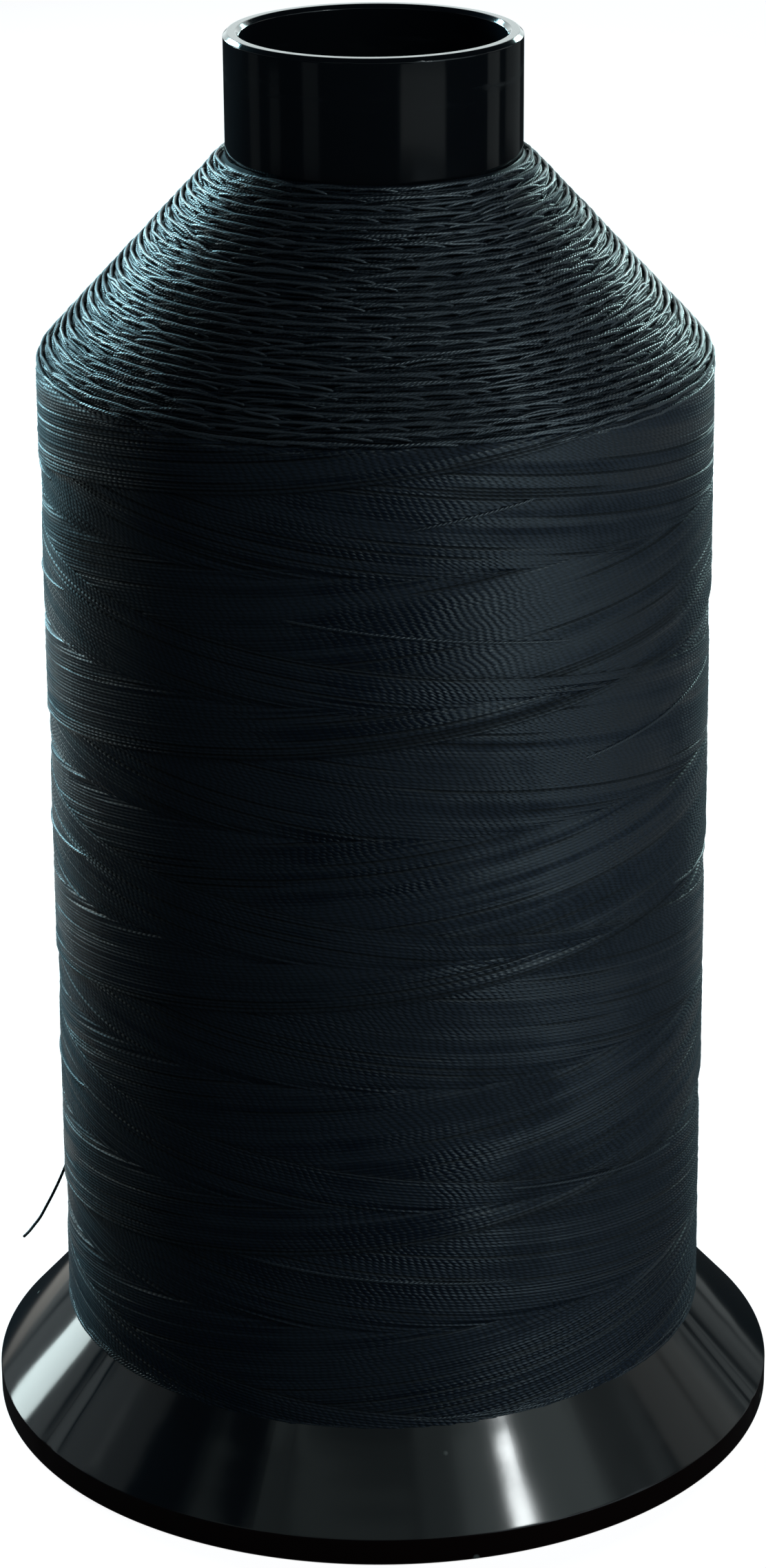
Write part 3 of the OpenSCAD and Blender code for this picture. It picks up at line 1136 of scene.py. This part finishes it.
@dataclass
class LooseEnd:
    """The thread's cut end, sprung clear of the package at the left."""

    diameter: float = 0.4 * MM
    plies: int = 3
    ply_lead: float = 1.65 * MM
    ply_depth: float = 0.10
    sides: int = 12
    points_per_span: int = 20
    tip: float = 0.15 * MM
    route_mm: tuple[tuple[float, float, float], ...] = (
        (-32.0, 26.9, 36.0), (-33.3, 25.3, 35.6), (-34.6, 23.6, 35.1), (-35.8, 21.9, 34.4),
        (-37.0, 20.1, 33.6), (-38.1, 18.2, 32.6), (-39.1, 16.3, 31.4), (-40.0, 14.5, 30.1),
        (-40.9, 12.7, 28.6), (-41.7, 10.9, 27.0), (-42.5, 9.1, 25.4), (-43.3, 7.7, 23.9),
        (-44.1, 6.4, 22.6), (-44.9, 5.0, 21.5), (-45.6, 3.5, 20.7), (-46.3, 2.0, 20.3),
        (-46.9, 0.5, 20.1), (-47.5, -1.0, 20.1),
    )

    def curve(self) -> np.ndarray:
        """The route as a smooth line through its points, by the rule of Catmull and Rom.

        Returns:
            Points in metres, of shape (n, 3).
        """
        route = np.array(self.route_mm) * MM
        padded = np.concatenate([route[:1], route, route[-1:]])
        t = np.linspace(0, 1, self.points_per_span, endpoint=False)[None, :, None]
        a, b, c, d = (padded[k : k + len(route) - 1, None] for k in range(4))
        line = 0.5 * (
            2 * b + (c - a) * t + (2 * a - 5 * b + 4 * c - d) * t**2 + (3 * b - a - 3 * c + d) * t**3
        )
        return np.concatenate([line.reshape(-1, 3), route[-1:]])

    def dress(self) -> Object:
        """The section's radius is less by ply_depth between the plies: it falls with the
        absolute cosine of plies / 2 x (angle - turns of the twist).

        Returns:
            The end's object.
        """
        path = self.curve()
        lengths = np.concatenate([[0], np.cumsum(np.linalg.norm(np.diff(path, axis=0), axis=1))])
        angle = np.arange(self.sides) * 2 * math.pi / self.sides
        twist = 2 * math.pi * lengths / self.ply_lead
        ply = np.abs(np.cos(self.plies / 2 * (angle[None, :] - twist[:, None])))
        radius = self.diameter / 2 * (1 - self.ply_depth + self.ply_depth * ply)
        tip = np.sqrt(np.clip((lengths[-1] - lengths) / self.tip, 0.16, 1))
        radius = radius * tip[:, None]
        outward = np.broadcast_to(np.array([0.0, -0.35, 1.0]), path.shape)
        points, faces, uv = sweep_rounds(path[None], outward[None], radius[None], self.sides)
        piece = build_mesh("loose_thread_end", points, faces, uv)
        adopt(piece, SHADED_THREAD, "loose_end")
        return piece


# The studio


@dataclass(frozen=True)
class Lamp:
    """An area lamp that faces the spool from a bearing; its level is its face's brightness."""

    name: str
    bearing: float
    elevation: float
    width: float
    height: float
    level: float
    colour: Colour


@dataclass(frozen=True)
class Glow:
    """A soft-edged panel that only reflections see.

    On the floor, low and high are distances from the axis in metres. On the dome they are
    elevations in degrees.
    """

    from_bearing: float
    to_bearing: float
    low: float
    high: float
    level: float
    colour: Colour = (0.9, 1.0, 1.0)
    edge: float = 6.0
    fade: float = 0.25


COOL = (0.80, 0.97, 1.06)
AQUA = (0.82, 1.0, 0.97)
PALE = (0.85, 1.0, 1.0)


@dataclass
class Surround:
    """A dark floor cloth and dome round the spool, seen in reflections alone.

    Its glow is its own dark tone plus its panels, a level below 0 darkens, and no place is
    darker than the tone. A panel's share is the product of smooth steps, over edge degrees past
    its bearings, and over fade x (high - low) past low and high. The bearings waver a little.
    """

    reach: float = 1.3
    near: float = 49.0 * MM
    lift: float = 0.2 * MM
    waver: float = 1.7
    tone: Colour = (0.012, 0.014, 0.015)
    bearings: int = 361
    distances: int = 90
    elevations: int = 76
    first_elevation: float = 0.4
    floor_glows: tuple[Glow, ...] = (
        Glow(-158, -143, 0.10, 0.30, 0.60, edge=3.0),
        Glow(-178, -157, 0.08, 0.40, 1.80, edge=3.0),
        Glow(34, 53, 0.14, 0.46, 1.75, COOL, edge=5.0, fade=0.1),
        Glow(59, 80, 0.14, 0.46, 0.95, COOL, edge=5.0, fade=0.1),
        Glow(88, 122, 0.14, 0.46, 0.26, edge=8.0, fade=0.1),
        Glow(126, 226, 0.16, 0.40, 0.32, fade=0.1),
        Glow(-144, -120, 0.09, 0.15, 0.60, (1.0, 0.98, 0.90)),
        Glow(22, 55, 0.58, 1.05, 0.24, edge=1.5, fade=0.1),
        Glow(20, 57, 0.56, 0.84, 0.14, edge=1.5),
        Glow(98, 111, 0.58, 1.05, 0.24, edge=1.5, fade=0.1),
        Glow(124, 150, 0.68, 1.05, 0.09, edge=3.0),
        Glow(-52, -43, 0.58, 1.05, 0.11, edge=3.0),
        Glow(-84, -76, 0.58, 0.82, 0.08, edge=3.0),
        Glow(-106, -98, 0.58, 1.05, 0.07, edge=3.0),
    )
    dome_glows: tuple[Glow, ...] = (
        Glow(34, 53, 1, 32, 1.75, COOL, edge=5.0, fade=0.1),
        Glow(59, 80, 1, 32, 0.95, COOL, edge=5.0, fade=0.1),
        Glow(88, 124, 1, 30, 0.26, (0.85, 0.98, 1.0), edge=8.0, fade=0.1),
        Glow(-62, 10, 38, 43, 0.28, AQUA, fade=0.3),
        Glow(-42, 8, 44, 51, 0.34, AQUA, fade=0.2),
        Glow(-46, 10, 50, 58, 0.20, AQUA, edge=2.0),
        Glow(14, 72, 38, 60, 0.52, (0.82, 1.0, 0.99), edge=4.0),
        Glow(34, 72, 38, 50, 0.90, PALE, edge=12.0),
        Glow(80, 94, 30, 38, 0.40, PALE),
        Glow(98, 120, 13, 30, 0.42, (0.98, 1.0, 0.94), edge=3.0),
        Glow(122, 152, -2, 14, 0.30),
        Glow(130.5, 134.5, 0, 12, -0.30, edge=1.0),
        Glow(109.5, 112.5, 18.5, 21.5, -0.40, edge=1.0),
        Glow(120, 124.5, 11, 14, -0.40, edge=1.0),
        Glow(94, 97, 27, 30, -0.15, edge=1.0),
        Glow(-120, -108, 13, 19, 0.60, edge=3.0),
        Glow(-107, -97, 21, 31, 0.50, edge=3.0),
        Glow(-148, -134, -3, 9, 0.40, edge=3.0),
        Glow(-96, -86, 28, 38, 0.30, edge=3.0),
        Glow(-82, -74, 35, 38, -0.12, edge=2.0),
        Glow(152, 210, 8, 40, 1.9),
    )

    def glow(self, glows: tuple[Glow, ...], bearing: np.ndarray, place: np.ndarray) -> np.ndarray:
        """The tone at bearings and places, of shape (places, bearings, 3).

        Args:
            glows: The panels.
            bearing: Bearings in degrees.
            place: Distances or elevations.

        Returns:
            The surround's own tone plus each panel's.
        """
        tone = np.zeros((len(place), len(bearing), 3)) + self.tone
        waver = 1.2 * np.sin(place[:, None] * self.waver) + 0.8 * np.sin(0.9 * bearing[None, :])
        bearing = bearing[None, :] + waver
        for g in glows:
            half = (g.to_bearing - g.from_bearing) / 2
            off = np.abs(np.mod(bearing - g.from_bearing - half + 180, 360) - 180)
            across = smooth_step((half + g.edge - off) / g.edge)
            margin = g.fade * (g.high - g.low)
            past_low = smooth_step((place - g.low + margin) / margin)
            before_high = smooth_step((g.high + margin - place) / margin)
            share = (past_low * before_high)[:, None] * across
            tone += share[..., None] * np.array(g.colour) * g.level
        return np.maximum(tone, self.tone)

    def build(self) -> None:
        """Builds the floor cloth and the dome on one grid of bearings."""
        bearing = np.linspace(-180, 180, self.bearings)
        distance = np.geomspace(self.near, self.reach, self.distances)
        elevation = np.linspace(self.first_elevation, 90, self.elevations)
        rise = np.radians(elevation)
        radius = np.concatenate([distance, self.reach * np.cos(rise)])
        height = np.concatenate([0 * distance + self.lift, self.reach * np.sin(rise)])
        points = around(radius[:, None], np.radians(bearing)[None, :], height[:, None])
        tone = np.concatenate(
            [self.glow(self.floor_glows, bearing, distance), self.glow(self.dome_glows, bearing, elevation)]
        )
        grid = np.arange(points.shape[0] * points.shape[1]).reshape(points.shape[:2])
        piece = build_mesh("surround", points.reshape(-1, 3), [cell_corners(grid).reshape(-1, 4)])
        layer = piece.data.color_attributes.new("tone", "FLOAT_COLOR", "POINT")
        full = np.concatenate([tone.reshape(-1, 3), np.ones((tone.size // 3, 1))], axis=1)
        layer.data.foreach_set("color", full.astype(np.float32).ravel())
        material = blank_material("surround")
        sheet = NodeSheet(material.node_tree)
        source = sheet.node("Attribute", attribute_name="tone").outputs["Color"]
        shine = sheet.node("Emission", {0: source}).outputs[0]
        sheet.node("OutputMaterial", {0: shine})
        piece.data.materials.append(material)
        for ray in ("camera", "diffuse", "transmission", "volume_scatter", "shadow"):
            setattr(piece, f"visible_{ray}", False)


@dataclass
class Studio:
    """The camera, the lamps, the reflected surround and the pale floor."""

    camera_y: float = -504.66 * MM
    camera_z: float = 277.42 * MM
    pitch: float = 0.36668
    yaw: float = 0.00105
    roll: float = -0.007
    lens: float = 97.44
    aim: Vector = field(default_factory=lambda: Vector((0, 0, 0.09)))
    lamps: tuple[Lamp, ...] = (
        Lamp("back_left_low", -126, 5, 0.15, 0.14, 10.5, (0.84, 1.0, 1.0)),
        Lamp("back_left_high", -146, 20, 0.18, 0.26, 49.0, (0.44, 0.86, 1.0)),
        Lamp("back_right", 151, 16, 0.15, 0.22, 27.0, (0.66, 1.0, 1.0)),
        Lamp("front_right", 46.4, 40.6, 0.066, 0.056, 60.0, (0.93, 0.99, 1.0)),
    )
    lamp_distance: float = 0.80
    fill: Colour = (0.045, 0.065, 0.095)
    paper: Colour = (0.42, 0.42, 0.42)
    paper_glow: float = 0.94
    floor_reach: float = 3.0

    def camera(self) -> None:
        """Makes the camera: pitched down, turned by the yaw, and rolled about its line of sight."""
        cos_p, sin_p = math.cos(self.pitch), math.sin(self.pitch)
        cos_y, sin_y = math.cos(self.yaw), math.sin(self.yaw)
        forward = Vector((sin_y * cos_p, cos_y * cos_p, -sin_p))
        right = Vector((cos_y, -sin_y, 0))
        up = right.cross(forward)
        turn = Matrix((right, up, -forward)).transposed() @ Matrix.Rotation(self.roll, 3, "Z")
        data = bpy.data.cameras.new("camera")
        data.lens, data.sensor_width = self.lens, 36.0
        data.clip_start, data.clip_end = 0.01, 20.0
        camera = bpy.data.objects.new("camera", data)
        camera.matrix_world = Matrix.Translation((0, self.camera_y, self.camera_z)) @ turn.to_4x4()
        bpy.context.scene.collection.objects.link(camera)
        bpy.context.scene.camera = camera

    def light(self, lamp: Lamp) -> None:
        """Hangs one lamp, facing the middle of the spool.

        Args:
            lamp: The lamp.
        """
        data = bpy.data.lights.new(lamp.name, "AREA")
        data.shape, data.size, data.size_y = "RECTANGLE", lamp.width, lamp.height
        data.color = lamp.colour
        data.energy = lamp.level * math.pi * lamp.width * lamp.height
        turn, rise = math.radians(lamp.bearing), math.radians(lamp.elevation)
        out = Vector((math.sin(turn) * math.cos(rise), -math.cos(turn) * math.cos(rise), math.sin(rise)))
        lit = bpy.data.objects.new(lamp.name, data)
        lit.location = self.aim + out * self.lamp_distance
        lit.rotation_euler = out.to_track_quat("Z", "Y").to_euler()
        lit.visible_camera = False
        bpy.context.scene.collection.objects.link(lit)

    def background(self) -> None:
        """White to the eye and in reflections, and a dim cool grey as light."""
        world = bpy.data.worlds.new("studio")
        bpy.context.scene.world = world
        world.use_nodes = True
        sheet = NodeSheet(world.node_tree)
        tone = sheet.mix(sheet.seen_directly(), rgba(self.fill), rgba((1.0, 1.0, 1.0)))
        shine = sheet.node("Background", {0: tone}).outputs[0]
        sheet.node("OutputWorld", {0: shine})

    def floor(self) -> None:
        """Lays a large pale floor that keeps the spool's shadow.

        Its own shade of the light is added to a steady glow for the eye and for reflections, so
        that lit paper comes out white, and shadow a soft grey.
        """
        reach = self.floor_reach
        points = np.array([[-reach, -reach, 0], [reach, -reach, 0], [reach, reach, 0], [-reach, reach, 0]])
        piece = build_mesh("floor", points, [np.array([[0, 1, 2, 3]])])
        material = blank_material("pale_paper")
        sheet = NodeSheet(material.node_tree)
        paper = sheet.node("BsdfDiffuse", {"Color": rgba(self.paper)}).outputs[0]
        strength = sheet.times(sheet.seen_directly(), self.paper_glow)
        glow = sheet.node("Emission", {"Strength": strength}).outputs[0]
        both = sheet.node("AddShader", {0: paper, 1: glow}).outputs[0]
        sheet.node("OutputMaterial", {0: both})
        piece.data.materials.append(material)

    def set_up(self) -> None:
        """Lights the scene and lays the floor."""
        for lamp in self.lamps:
            self.light(lamp)
        Surround().build()
        self.background()
        self.floor()
        bpy.context.scene.view_settings.view_transform = "Standard"


def main() -> None:
    """Builds the spool in order: camera and loose end, mouldings, package, studio."""
    logging.basicConfig(level=logging.INFO, format="%(name)s: %(message)s")
    studio = Studio()
    studio.camera()
    LooseEnd().dress()
    Barrel().dress()
    BaseFlange().dress()
    ThreadPackage().dress()
    studio.set_up()


if __name__ == "__main__":
    main()
